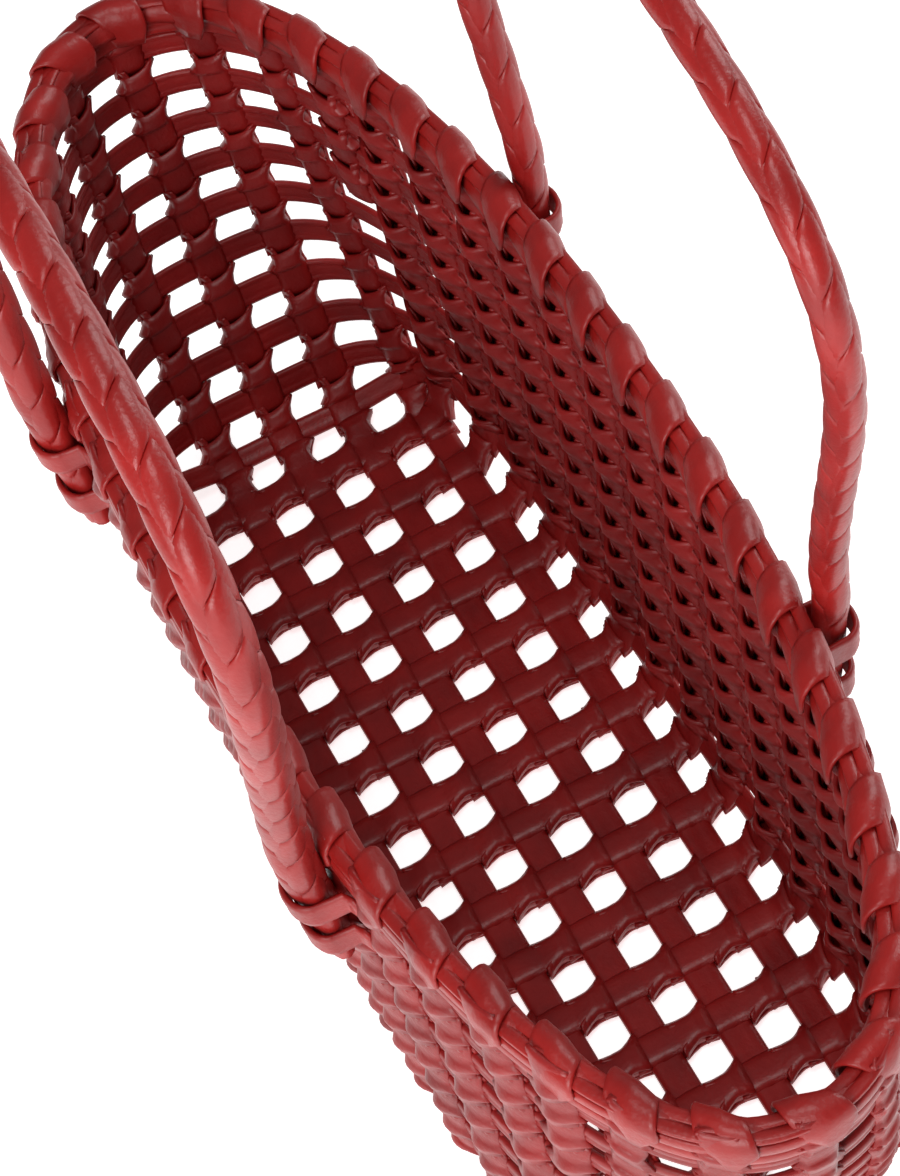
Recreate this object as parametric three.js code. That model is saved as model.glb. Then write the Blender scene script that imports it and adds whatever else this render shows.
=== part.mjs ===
// A hand-woven strap basket with two braided handles. Millimetres, +Z up.
// X runs along the basket, Y across it. The origin is under the middle of the base.
// Long straps run below the cross straps on the base; both turn up the walls and
// stand inside the wall bands, which go round the basket.
import * as THREE from "three";

// Driving sizes of the basket
const RIM_HEIGHT = 131;
const BASE_HALF_LENGTH = 138;
const BASE_HALF_WIDTH = 52;
const RIM_HALF_LENGTH = 190;
const RIM_HALF_WIDTH = 61.5;
const BASE_SQUARENESS = 5;
const RIM_SQUARENESS = 2.2;
const END_FLARE_EASE = 0.62;
const FOOT_HEIGHT = 12;
const FOOT_RUN = 5;
const WALL_STATIONS = 8;

// Straps and bands
const STRAP_THICKNESS = 1.5;
const LAYER_GAP = 0.6;
const LONG_STRAP_COUNT = 5;
const LONG_STRAP_PITCH = 18.6;
const LONG_STRAP_WIDTH = 7.8;
const CROSS_STRAP_COUNT = 14;
const CROSS_STRAP_PITCH = 19;
const CROSS_STRAP_WIDTH = 9.6;
const UPRIGHT_WIDTH = 10;
const FOOT_WIDTH = 6.4;
const BAND_COUNT = 9;
const BAND_WIDTH = 5.6;
const LOWEST_BAND_HEIGHT = 16.6;
const TOP_BAND_DROP = 14;
const CORNER_UPRIGHT_START = 0.45;

// Rim
const RIM_BAND_WIDTH = 7;
const RIM_CAP_HEIGHT = 4;
const RIM_CAP_OVERHANG = 0.6;

// Handles: braided ropes bowed into an arch, on pivots just above the rim
const HANDLE_RADIUS = 5.5;
const HANDLE_SIDES = 10;
const HANDLE_STEPS = 40;
const HANDLE_CAP_SHARES = [0.15, 0.5, 0.8];
const HANDLE_RISE = 195.5;
const HANDLE_FOOT_DROP = 33.5;
const HANDLE_FOOT_X = 72.8;
const HANDLE_BOW = 1.93;
const HANDLE_ROUNDNESS = 0.93;
const PIVOT_ABOVE_RIM = 10.5;
const PIVOT_CLEARANCE = 0.4;
const HANDLE_WALL_CLEARANCE = 0.6;

// Handle tails and the straps that hold them to the wall
const TAIL_LENGTH = 44;
const TAIL_FOOT_RADIUS_X = 5.5;
const TAIL_FOOT_RADIUS_Y = 3.6;
const TAIL_STEPS = 3;
const KEEPER_WIDTH = 7;
const KEEPER_THICKNESS = 1.4;
const KEEPER_TONGUE = 5;
const KEEPER_CLEARANCE = 0.5;
const KEEPER_ARC_STEPS = 8;
const KEEPER_DROPS = [14, 30];

const LEATHER = { color: 0x8f1a1c, roughness: 0.42, metalness: 0 };
const DARK_LEATHER = { color: 0x6d1214, roughness: 0.45, metalness: 0 };
const HANDLE_LEATHER = { color: 0xa32426, roughness: 0.38, metalness: 0 };

const mix = (from, to, share) => from + (to - from) * share;
const basket = new THREE.Group();

function addMesh(name, geometry, look) {
  const mesh = new THREE.Mesh(geometry, new THREE.MeshStandardMaterial(look));
  mesh.name = name;
  basket.add(mesh);
}

// Joins a row of equal rings of points into one closed body.
function loft(rings, closed = false) {
  const sides = rings[0].length;
  const geometry = new THREE.BufferGeometry();
  const numbers = rings.flat().flatMap((point) => point.toArray());
  geometry.setAttribute("position", new THREE.Float32BufferAttribute(numbers, 3));
  const faces = [];
  const spans = closed ? rings.length : rings.length - 1;
  for (let r = 0; r < spans; r++) {
    const next = (r + 1) % rings.length;
    for (let s = 0; s < sides; s++) {
      const t = (s + 1) % sides;
      faces.push(r * sides + s, r * sides + t, next * sides + t);
      faces.push(r * sides + s, next * sides + t, next * sides + s);
    }
  }
  if (!closed) {
    const last = (rings.length - 1) * sides;
    for (let s = 1; s < sides - 1; s++) {
      faces.push(0, s + 1, s);
      faces.push(last, last + s, last + s + 1);
    }
  }
  geometry.setIndex(faces);
  return facingOut(geometry);
}

// Turns the faces round when the body's signed volume is negative.
function facingOut(geometry) {
  const index = geometry.getIndex();
  const position = geometry.getAttribute("position");
  const corner = (n) => new THREE.Vector3().fromBufferAttribute(position, index.getX(n));
  let volume = 0;
  for (let n = 0; n < index.count; n += 3) {
    volume += corner(n).dot(corner(n + 1).cross(corner(n + 2)));
  }
  if (volume < 0) {
    for (let n = 0; n < index.count; n += 3) {
      const second = index.getX(n + 1);
      index.setX(n + 1, index.getX(n + 2));
      index.setX(n + 2, second);
    }
  }
  return geometry;
}

// The basket's outline at a height, as a rounded rectangle that gets rounder upwards.
function outlineAt(height) {
  const share = height / RIM_HEIGHT;
  const flare = share * (1 + END_FLARE_EASE * (1 - share));
  return {
    length: mix(BASE_HALF_LENGTH, RIM_HALF_LENGTH, flare),
    width: mix(BASE_HALF_WIDTH, RIM_HALF_WIDTH, share),
    power: mix(BASE_SQUARENESS, RIM_SQUARENESS, share * (2 - share)),
  };
}

function outlinePoint(height, turn) {
  const { length, width, power } = outlineAt(height);
  const cosine = Math.cos(turn);
  const sine = Math.sin(turn);
  const reach = (Math.abs(cosine) ** power + Math.abs(sine) ** power) ** (-1 / power);
  return new THREE.Vector3(length * cosine * reach, width * sine * reach, height);
}

// Quarter outlines as running lengths, from the middle of the end to that of the long side.
const OUTLINE_STEPS = 400;
const quarterTables = new Map();

function quarterTable(height) {
  if (!quarterTables.has(height)) {
    const turns = Array.from({ length: OUTLINE_STEPS + 1 }, (_, n) => (n / OUTLINE_STEPS) * (Math.PI / 2));
    const points = turns.map((turn) => outlinePoint(height, turn));
    const lengths = [0];
    for (let n = 1; n <= OUTLINE_STEPS; n++) {
      lengths.push(lengths[n - 1] + points[n].distanceTo(points[n - 1]));
    }
    const shares = lengths.map((length) => length / lengths[OUTLINE_STEPS]);
    quarterTables.set(height, { turns, points, lengths: shares });
  }
  return quarterTables.get(height);
}

// The turn that lies a given share of the way round the quarter.
function turnAt(height, share) {
  const { turns, lengths } = quarterTable(height);
  const above = Math.max(1, lengths.findIndex((length) => length >= share));
  const within = (share - lengths[above - 1]) / (lengths[above] - lengths[above - 1]);
  return mix(turns[above - 1], turns[above], within);
}

// The share of the base quarter where the outline reaches a given x or y.
function baseShareAtX(x) {
  const { points, lengths } = quarterTable(0);
  return lengths[points.findIndex((point) => point.x <= x)];
}

function baseShareAtY(y) {
  const { points, lengths } = quarterTable(0);
  return lengths[points.findIndex((point) => point.y >= y)];
}

// One quarter of the uprights, from the end's middle to the long side's middle.
function quarterUprights() {
  const halfLong = (LONG_STRAP_COUNT - 1) / 2;
  const halfCross = CROSS_STRAP_COUNT / 2;
  const quarter = [];
  for (let n = 0; n <= halfLong; n++) {
    quarter.push({ kind: "long", number: n, baseShare: baseShareAtY(n * LONG_STRAP_PITCH) });
  }
  for (let n = halfCross - 1; n >= 0; n--) {
    quarter.push({ kind: "cross", number: n, baseShare: baseShareAtX((n + 0.5) * CROSS_STRAP_PITCH) });
  }
  const before = quarter[halfLong].baseShare;
  const after = quarter[halfLong + 1].baseShare;
  quarter.splice(halfLong + 1, 0, { kind: "corner", number: 0, baseShare: (before + after) / 2 });
  return quarter.map((upright, place) => ({ ...upright, rimShare: place / (quarter.length - 0.5) }));
}

// All uprights in order round the basket, with the signs of x and y of their quarter.
function allUprights() {
  const quarter = quarterUprights();
  const round = [];
  for (const [signX, signY, reversed] of [[1, 1, false], [-1, 1, true], [-1, -1, false], [1, -1, true]]) {
    const part = quarter.map((upright) => ({ ...upright, signX, signY }));
    if (reversed) part.reverse();
    for (const upright of part) {
      const shared = upright.kind === "long" && upright.number === 0;
      if (!shared || signX * signY > 0) round.push(upright);
    }
  }
  return round;
}

const stationHeights = Array.from({ length: WALL_STATIONS }, (_, n) => {
  return mix(FOOT_HEIGHT, RIM_HEIGHT, n / (WALL_STATIONS - 1));
});

// The middle of an upright at a wall height, with the directions along and out of the wall.
function wallFrame(upright, height) {
  const turn = turnAt(height, mix(upright.baseShare, upright.rimShare, height / RIM_HEIGHT));
  const place = outlinePoint(height, turn);
  const small = 0.002;
  const towards = outlinePoint(height, Math.min(turn + small, Math.PI / 2));
  const away = outlinePoint(height, Math.max(turn - small, 0));
  const along = towards.sub(away).normalize();
  if (turn < small) along.set(0, 1, 0);
  const mirror = new THREE.Vector3(upright.signX, upright.signY, 1);
  const out = new THREE.Vector3(along.y, -along.x, 0).multiply(mirror);
  along.multiply(mirror).multiplyScalar(upright.signX * upright.signY);
  return { place: place.multiply(mirror), along, out };
}

// An edge point of an upright at one of the stations, moved out of the wall.
function stationEdge(upright, station, side, out) {
  const height = stationHeights[station];
  const frame = wallFrame(upright, height);
  const share = Math.min(1, station);
  const half = mix(FOOT_WIDTH, UPRIGHT_WIDTH, share) / 2;
  return frame.place.addScaledVector(frame.along, side * half).addScaledVector(frame.out, out);
}

// The same between stations, where the wall is straight.
function wallEdge(upright, height, side, out) {
  const span = (RIM_HEIGHT - FOOT_HEIGHT) / (WALL_STATIONS - 1);
  const low = Math.min(WALL_STATIONS - 2, Math.max(0, Math.floor((height - FOOT_HEIGHT) / span)));
  const share = (height - stationHeights[low]) / span;
  return stationEdge(upright, low, side, out).lerp(stationEdge(upright, low + 1, side, out), share);
}

// A strap's section across the wall: two edge points on its inner face, two on its outer.
function wallSection(upright, height, inner, outer) {
  return [
    wallEdge(upright, height, -1, inner),
    wallEdge(upright, height, 1, inner),
    wallEdge(upright, height, 1, outer),
    wallEdge(upright, height, -1, outer),
  ];
}

function uprightSections(upright, start = 0) {
  const heights = stationHeights.slice(start, -1);
  heights.push(RIM_HEIGHT - LAYER_GAP);
  return heights.map((height) => wallSection(upright, height, -STRAP_THICKNESS, 0));
}

const uprights = allUprights();

// A strap that lies on the base between two places and turns up the wall at both.
function turnedUpStrap(uprightPair, flatPlaces, level, width) {
  const run = flatPlaces[1].clone().sub(flatPlaces[0]).normalize();
  const side = new THREE.Vector3(-run.y, run.x, 0).multiplyScalar(width / 2);
  const flats = flatPlaces.map((place) => [
    place.clone().add(side).setZ(level + STRAP_THICKNESS),
    place.clone().sub(side).setZ(level + STRAP_THICKNESS),
    place.clone().sub(side).setZ(level),
    place.clone().add(side).setZ(level),
  ]);
  const walls = uprightPair.map((upright, n) => {
    const sections = uprightSections(upright);
    return alignTo(flats[n], sections[0]) ? sections : sections.map(([a, b, c, d]) => [b, a, d, c]);
  });
  return loft([...walls[0].reverse(), ...flats, ...walls[1]]);
}

function alignTo(flat, wall) {
  const straight = flat[0].distanceTo(wall[0]) + flat[1].distanceTo(wall[1]);
  const crossed = flat[0].distanceTo(wall[1]) + flat[1].distanceTo(wall[0]);
  return straight <= crossed;
}

const matching = (kind, number, signX, signY) => uprights.find((upright) => {
  const sameY = upright.signY === signY || (kind === "long" && number === 0);
  return upright.kind === kind && upright.number === number && upright.signX === signX && sameY;
});

function addStraps() {
  const halfLong = (LONG_STRAP_COUNT - 1) / 2;
  const lastCross = ((CROSS_STRAP_COUNT - 1) / 2) * CROSS_STRAP_PITCH;
  const longReach = lastCross + CROSS_STRAP_WIDTH / 2 + LAYER_GAP;
  for (let n = -halfLong; n <= halfLong; n++) {
    const pair = [-1, 1].map((signX) => matching("long", Math.abs(n), signX, n < 0 ? -1 : 1));
    const flats = [-1, 1].map((signX) => new THREE.Vector3(signX * longReach, n * LONG_STRAP_PITCH, 0));
    addMesh(`long_strap_${n + halfLong + 1}`, turnedUpStrap(pair, flats, 0, LONG_STRAP_WIDTH), LEATHER);
  }
  const level = STRAP_THICKNESS + LAYER_GAP;
  for (let n = 0; n < CROSS_STRAP_COUNT; n++) {
    const place = n - (CROSS_STRAP_COUNT - 1) / 2;
    const signX = Math.sign(place);
    const pair = [-1, 1].map((signY) => matching("cross", Math.abs(place) - 0.5, signX, signY));
    const reach = Math.abs(wallFrame(pair[1], FOOT_HEIGHT).place.y) - FOOT_RUN;
    const flats = [-1, 1].map((signY) => new THREE.Vector3(place * CROSS_STRAP_PITCH, signY * reach, 0));
    addMesh(`cross_strap_${n + 1}`, turnedUpStrap(pair, flats, level, CROSS_STRAP_WIDTH), LEATHER);
  }
  const start = Math.ceil(CORNER_UPRIGHT_START * (WALL_STATIONS - 1));
  uprights.filter((upright) => upright.kind === "corner").forEach((upright, n) => {
    addMesh(`corner_upright_${n + 1}`, loft(uprightSections(upright, start)), LEATHER);
  });
}

// A closed band round the wall that touches each upright flat on.
function ring(low, high, inner, outer) {
  const cornerStart = stationHeights[Math.ceil(CORNER_UPRIGHT_START * (WALL_STATIONS - 1))];
  const present = uprights.filter((upright) => upright.kind !== "corner" || low > cornerStart);
  const sections = present.flatMap((upright) => [-1, 1].map((side) => [
    wallEdge(upright, low, side, inner),
    wallEdge(upright, low, side, outer),
    wallEdge(upright, high, side, outer),
    wallEdge(upright, high, side, inner),
  ]));
  return loft(sections, true);
}

function addBands() {
  const pitch = (RIM_HEIGHT - TOP_BAND_DROP - LOWEST_BAND_HEIGHT) / (BAND_COUNT - 1);
  const inner = LAYER_GAP;
  const outer = LAYER_GAP + STRAP_THICKNESS;
  for (let n = 0; n < BAND_COUNT; n++) {
    const middle = LOWEST_BAND_HEIGHT + n * pitch;
    const geometry = ring(middle - BAND_WIDTH / 2, middle + BAND_WIDTH / 2, inner, outer);
    addMesh(`wall_band_${n + 1}`, geometry, DARK_LEATHER);
  }
}

function addRim() {
  const low = RIM_HEIGHT - RIM_BAND_WIDTH;
  const outer = LAYER_GAP + STRAP_THICKNESS;
  const inner = -STRAP_THICKNESS - LAYER_GAP;
  const top = RIM_HEIGHT - LAYER_GAP;
  addMesh("rim_outer_band", ring(low, top, LAYER_GAP, outer), LEATHER);
  addMesh("rim_inner_band", ring(low, top, inner - STRAP_THICKNESS, inner), LEATHER);
  const capInner = inner - STRAP_THICKNESS - RIM_CAP_OVERHANG;
  const capOuter = outer + RIM_CAP_OVERHANG;
  addMesh("rim_cap", ring(RIM_HEIGHT, RIM_HEIGHT + RIM_CAP_HEIGHT, capInner, capOuter), LEATHER);
}

// Handles
const pivotHeight = RIM_HEIGHT + PIVOT_ABOVE_RIM;
const handleFootHeight = RIM_HEIGHT - HANDLE_FOOT_DROP;
const wallOuter = LAYER_GAP + STRAP_THICKNESS + RIM_CAP_OVERHANG;

// The wall's half width at a given x and height.
function wallY(x, height) {
  const { length, width, power } = outlineAt(height);
  return width * (1 - (x / length) ** power) ** (1 / power);
}

const handleY = wallY(HANDLE_FOOT_X, RIM_HEIGHT) + wallOuter + HANDLE_WALL_CLEARANCE + HANDLE_RADIUS;

class HandleArch extends THREE.Curve {
  getPoint(share, target = new THREE.Vector3()) {
    const start = Math.asin(((pivotHeight - handleFootHeight) / HANDLE_RISE) ** (1 / HANDLE_ROUNDNESS));
    const turn = mix(start, Math.PI - start, share);
    const sine = Math.sin(turn);
    const x = HANDLE_FOOT_X * Math.cos(turn) * (1 + HANDLE_BOW * sine ** 2);
    return target.set(x, 0, handleFootHeight + HANDLE_RISE * sine ** HANDLE_ROUNDNESS);
  }
}

function handleGeometry(sideY) {
  const arch = new HandleArch();
  const rings = [];
  const ringAt = (centre, tangent, radius) => {
    const across = new THREE.Vector3(0, 1, 0);
    const normal = new THREE.Vector3().crossVectors(across, tangent).normalize();
    return Array.from({ length: HANDLE_SIDES }, (_, n) => {
      const angle = (n / HANDLE_SIDES) * Math.PI * 2;
      const point = centre.clone().addScaledVector(normal, radius * Math.cos(angle));
      return point.addScaledVector(across, radius * Math.sin(angle) + sideY * handleY);
    });
  };
  const start = arch.getPoint(0);
  const startTangent = arch.getTangent(0);
  for (const share of HANDLE_CAP_SHARES) {
    const angle = (share * Math.PI) / 2;
    const centre = start.clone().addScaledVector(startTangent, -HANDLE_RADIUS * Math.cos(angle));
    rings.push(ringAt(centre, startTangent, HANDLE_RADIUS * Math.sin(angle)));
  }
  for (let n = 0; n <= HANDLE_STEPS; n++) {
    const share = n / HANDLE_STEPS;
    rings.push(ringAt(arch.getPointAt(share), arch.getTangentAt(share), HANDLE_RADIUS));
  }
  const end = arch.getPoint(1);
  const endTangent = arch.getTangent(1);
  for (const share of HANDLE_CAP_SHARES.slice().reverse()) {
    const angle = (share * Math.PI) / 2;
    const centre = end.clone().addScaledVector(endTangent, HANDLE_RADIUS * Math.cos(angle));
    rings.push(ringAt(centre, endTangent, HANDLE_RADIUS * Math.sin(angle)));
  }
  return loft(rings);
}

// The middle of a tail at a distance below its top, on the outside of the wall.
const tailTop = pivotHeight - HANDLE_RADIUS - PIVOT_CLEARANCE;
const tailX = new HandleArch().getPoint(0).x;

function tailCentre(drop) {
  const share = drop / TAIL_LENGTH;
  const height = tailTop - drop;
  const restY = wallY(HANDLE_FOOT_X, Math.min(height, RIM_HEIGHT)) + wallOuter + HANDLE_WALL_CLEARANCE;
  const radiusX = mix(HANDLE_RADIUS, TAIL_FOOT_RADIUS_X, share);
  const radiusY = mix(HANDLE_RADIUS, TAIL_FOOT_RADIUS_Y, share);
  return { x: mix(tailX, HANDLE_FOOT_X, share), y: restY + radiusY, z: height, radiusX, radiusY };
}

function tailGeometry(signX, signY) {
  const rings = Array.from({ length: TAIL_STEPS + 1 }, (_, step) => {
    const { x, y, z, radiusX, radiusY } = tailCentre((step / TAIL_STEPS) * TAIL_LENGTH);
    return Array.from({ length: HANDLE_SIDES }, (_, n) => {
      const angle = (n / HANDLE_SIDES) * Math.PI * 2;
      const px = x + radiusX * Math.cos(angle);
      const py = y + radiusY * Math.sin(angle);
      return new THREE.Vector3(signX * px, signY * py, z);
    });
  });
  return loft(rings);
}

// A strap over a tail, with a flat tongue on the wall at each side. The tail leans, so
// the strap stands clear of it by the named clearance and the tail's run behind the strap.
function keeperGeometry(signX, signY, drop) {
  const { x, y, z, radiusX, radiusY } = tailCentre(drop + KEEPER_WIDTH / 2);
  const top = tailCentre(drop);
  const bottom = tailCentre(drop + KEEPER_WIDTH);
  const clearX = KEEPER_CLEARANCE + (top.x - bottom.x) / 2;
  const clearY = KEEPER_CLEARANCE + (top.y + top.radiusY - bottom.y - bottom.radiusY) / 2;
  const arc = (extra) => Array.from({ length: KEEPER_ARC_STEPS + 1 }, (_, n) => {
    const angle = (n / KEEPER_ARC_STEPS) * Math.PI;
    const across = -(radiusX + clearX + extra) * Math.cos(angle);
    return new THREE.Vector2(across, y + (radiusY + clearY + extra) * Math.sin(angle));
  });
  const leg = radiusX + clearX;
  const reach = leg + KEEPER_THICKNESS + KEEPER_TONGUE;
  const bandsOuter = LAYER_GAP + STRAP_THICKNESS + KEEPER_CLEARANCE;
  const footAt = (across) => wallY(x + across, z + KEEPER_WIDTH / 2) + bandsOuter;
  const innerFoot = footAt(-reach);
  const outerFoot = footAt(leg);
  const shape = new THREE.Shape([
    new THREE.Vector2(-reach, innerFoot),
    new THREE.Vector2(-reach, innerFoot + KEEPER_THICKNESS),
    new THREE.Vector2(-leg - KEEPER_THICKNESS, innerFoot + KEEPER_THICKNESS),
    ...arc(KEEPER_THICKNESS),
    new THREE.Vector2(leg + KEEPER_THICKNESS, outerFoot + KEEPER_THICKNESS),
    new THREE.Vector2(reach, outerFoot + KEEPER_THICKNESS),
    new THREE.Vector2(reach, outerFoot),
    new THREE.Vector2(leg, outerFoot),
    ...arc(0).reverse(),
    new THREE.Vector2(-leg, innerFoot),
  ]);
  const geometry = new THREE.ExtrudeGeometry(shape, { depth: KEEPER_WIDTH, bevelEnabled: false });
  const position = geometry.getAttribute("position");
  for (let n = 0; n < position.count; n++) {
    const across = position.getX(n);
    const outward = position.getY(n);
    const up = position.getZ(n);
    position.setXYZ(n, signX * (x + across), signY * outward, z - KEEPER_WIDTH / 2 + up);
  }
  if (signX * signY < 0) flipFaces(geometry);
  return geometry;
}

function flipFaces(geometry) {
  const position = geometry.getAttribute("position");
  for (let n = 0; n < position.count; n += 3) {
    for (const axis of [0, 1, 2]) {
      const second = position.getComponent(n + 1, axis);
      position.setComponent(n + 1, axis, position.getComponent(n + 2, axis));
      position.setComponent(n + 2, axis, second);
    }
  }
}

function addHandles() {
  for (const [side, signY] of [["left", -1], ["right", 1]]) {
    addMesh(`${side}_handle`, handleGeometry(signY), HANDLE_LEATHER);
    for (const [end, signX] of [["rear", -1], ["front", 1]]) {
      addMesh(`${side}_${end}_tail`, tailGeometry(signX, signY), HANDLE_LEATHER);
      KEEPER_DROPS.forEach((drop, n) => {
        addMesh(`${side}_${end}_keeper_${n + 1}`, keeperGeometry(signX, signY, drop), LEATHER);
      });
    }
  }
}

addStraps();
addBands();
addRim();
addHandles();

export default basket;
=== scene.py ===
"""A basket woven from folded red leather straps, with two braided handles.

Shapes are worked out in millimetres, in the CAD model's frame, and turned into metres when
a mesh is made. +X runs to the far end, +Y to the near side, +Z up.
"""
import math

import bpy
import numpy as np
from mathutils import Matrix, Vector


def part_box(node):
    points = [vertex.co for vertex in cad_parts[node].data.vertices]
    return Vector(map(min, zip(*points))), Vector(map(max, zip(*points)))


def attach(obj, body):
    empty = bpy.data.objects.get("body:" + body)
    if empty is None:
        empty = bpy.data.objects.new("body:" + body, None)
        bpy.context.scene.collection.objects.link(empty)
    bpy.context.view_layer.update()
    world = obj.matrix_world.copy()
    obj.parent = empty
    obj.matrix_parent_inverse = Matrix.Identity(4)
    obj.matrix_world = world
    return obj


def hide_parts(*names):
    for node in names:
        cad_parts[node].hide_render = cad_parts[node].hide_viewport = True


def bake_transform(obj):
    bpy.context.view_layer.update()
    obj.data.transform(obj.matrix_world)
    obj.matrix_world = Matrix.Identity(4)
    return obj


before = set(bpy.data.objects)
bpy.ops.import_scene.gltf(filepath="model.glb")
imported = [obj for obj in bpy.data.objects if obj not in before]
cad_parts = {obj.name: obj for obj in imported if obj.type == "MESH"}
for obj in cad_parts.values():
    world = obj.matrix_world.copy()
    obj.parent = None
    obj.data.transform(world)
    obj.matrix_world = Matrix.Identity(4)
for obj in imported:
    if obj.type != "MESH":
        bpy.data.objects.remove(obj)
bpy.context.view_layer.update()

MM = 0.001
random = np.random.default_rng(7)

# ---------------------------------------------------------------- sizes shared with the CAD
# Squareness is the power of the outline's curve. A pitch is the distance between straps.
RIM_HEIGHT = 131.0
BASE_HALF_LENGTH = 138.0
BASE_HALF_WIDTH = 52.0
RIM_HALF_LENGTH = 190.0
RIM_HALF_WIDTH = 61.5
BASE_SQUARENESS = 5.0
RIM_SQUARENESS = 2.2
END_FLARE_EASE = 0.62
FOOT_HEIGHT = 12.0
LONG_COUNT = 5
LONG_PITCH = 18.6
CROSS_COUNT = 14
CROSS_PITCH = 19.0
BAND_COUNT = 9
CORNER_START_BAND = 5

# The bands' heights and width are read off the CAD's solids.
BAND_HEIGHTS = []
for band in range(1, BAND_COUNT + 1):
    lowest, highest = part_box(f"wall_band_{band}")
    BAND_HEIGHTS.append((lowest.z + highest.z) / 2 / MM)
BAND_WIDTH = (highest.z - lowest.z) / MM
BAND_PITCH = BAND_HEIGHTS[1] - BAND_HEIGHTS[0]
RIM_CROSSING = BAND_HEIGHTS[-1] + BAND_PITCH

# ---------------------------------------------------------------- straps of the weave
WALL_MIDDLE = 0.3           # how far outside the outline the wall's middle lies
BASE_MIDDLE = 3.1           # height of the base's middle
STRIP_THICKNESS = 1.6
STRAP = 1.1                 # thickness of a folded strap
STRAP_HALF_WIDTH = 4.35
STRAP_FLARE = 2.0           # how far a strap stands out past its line's waist
STRAP_WAIST = 0.9           # how much a line narrows between two strips
EDGE_ROUNDING = 0.6
EDGE_ROLL = 0.8             # how far a scale's edges roll down
LONG_STRIP_WIDTH = 7.9


def mix(start, end, share):
    """The value a share of the way from start to end."""
    return start + (end - start) * share


def unit(vectors):
    return vectors / np.linalg.norm(vectors, axis=-1, keepdims=True)


def sample(at, table, run):
    """Rows of a table at running lengths."""
    return np.stack([np.interp(run, at, column) for column in table.T], -1)


def running_lengths(points):
    """Lengths along a run of points, from its start."""
    steps = np.linalg.norm(np.diff(points, axis=0), axis=1)
    return np.concatenate([[0], np.cumsum(steps)])


def hanning_kernel(size):
    """Smoothing weights that add up to one."""
    kernel = np.hanning(size + 2)[1:-1]
    return kernel / kernel.sum()


# ---------------------------------------------------------------- meshes
class Shell:
    """Collects the faces of one piece, in millimetres."""

    def __init__(self):
        self.points = []
        self.faces = []
        self.count = 0

    def add(self, points, faces):
        points = np.asarray(points, float).reshape(-1, 3)
        self.points.append(points)
        self.faces.append(np.asarray(faces) + self.count)
        self.count += len(points)

    def add_plate(self, grid, thickness, close_rows=False):
        """A closed plate about a grid of points, rows by columns by 3."""
        self.add(*plate(grid, thickness, close_rows))

    def build(self, name, material, body):
        """The collected faces as one smooth object, which rides on body if one is given."""
        mesh = bpy.data.meshes.new(name)
        points = np.concatenate(self.points) * MM
        points[:, 2] = np.maximum(points[:, 2], 0)
        faces = np.concatenate(self.faces)
        mesh.vertices.add(len(points))
        mesh.vertices.foreach_set("co", points.astype(np.float32).ravel())
        mesh.loops.add(faces.size)
        mesh.loops.foreach_set("vertex_index", faces.astype(np.int32).ravel())
        mesh.polygons.add(len(faces))
        mesh.polygons.foreach_set("loop_start", np.arange(0, faces.size, 4, dtype=np.int32))
        mesh.update(calc_edges=True)
        mesh.validate()
        mesh.polygons.foreach_set("use_smooth", np.ones(len(mesh.polygons), bool))
        mesh.materials.append(material)
        piece = bpy.data.objects.new(name, mesh)
        bpy.context.scene.collection.objects.link(piece)
        if body:
            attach(piece, body)
        return piece


def grid_normals(grid, close_rows=False):
    """Unit normals of a grid of points; close_rows joins its last row to its first."""
    if close_rows:
        along = np.roll(grid, -1, 0) - np.roll(grid, 1, 0)
    else:
        along = np.gradient(grid, axis=0)
    across = np.gradient(grid, axis=1)
    return unit(np.cross(across, along) + 1e-12)


def plate(grid, thickness, close_rows=False):
    """Points and quads of a closed plate with rounded edges about a grid."""
    grid = np.asarray(grid, float)
    rows, columns = grid.shape[:2]
    normal = grid_normals(grid, close_rows)
    half = np.broadcast_to(np.asarray(thickness, float) / 2, (rows, columns))[..., None]
    top = grid + normal * half
    under = grid - normal * half
    left = grid[:, 0] + unit(grid[:, 0] - grid[:, 1]) * half[:, 0] * EDGE_ROUNDING
    right = grid[:, -1] + unit(grid[:, -1] - grid[:, -2]) * half[:, -1] * EDGE_ROUNDING
    sections = np.concatenate([top, right[:, None], under[:, ::-1], left[:, None]], 1)
    sides = sections.shape[1]
    spans = rows if close_rows else rows - 1
    r = np.arange(spans)[:, None] * sides
    n = (np.arange(spans)[:, None] + 1) % rows * sides
    s = np.arange(sides)[None, :]
    t = (s + 1) % sides
    quads = np.stack([r + s, r + t, n + t, n + s], -1).reshape(-1, 4)
    if not close_rows:
        c = np.arange(columns)
        first = np.stack([sides - 1 - c, sides - 2 - c, c + 1, c], -1)
        last = np.stack([c, c + 1, sides - 2 - c, sides - 1 - c], -1) + (rows - 1) * sides
        quads = np.concatenate([quads, first, last])
    return sections.reshape(-1, 3), quads


# ---------------------------------------------------------------- the wall's outline
def outline_sizes(height):
    """Half length, half width and squareness of the wall's outline."""
    share = height / RIM_HEIGHT
    flare = share * (1 + END_FLARE_EASE * (1 - share))
    length = mix(BASE_HALF_LENGTH, RIM_HALF_LENGTH, flare)
    width = mix(BASE_HALF_WIDTH, RIM_HALF_WIDTH, share)
    power = mix(BASE_SQUARENESS, RIM_SQUARENESS, share * (2 - share))
    return length, width, power


def outline_points(height, turns):
    length, width, power = outline_sizes(height)
    cosine, sine = np.cos(turns), np.sin(turns)
    reach = (np.abs(cosine) ** power + np.abs(sine) ** power) ** (-1 / power)
    return np.stack([length * cosine * reach, width * sine * reach], -1)


OUTLINE_TURNS = np.linspace(0, np.pi / 2, 401)
TURN_STEP = 0.002


def running_shares(height):
    """Points of the outline's first quarter, and how far along the quarter each lies."""
    points = outline_points(height, OUTLINE_TURNS)
    lengths = running_lengths(points)
    return points, lengths / lengths[-1]


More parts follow.
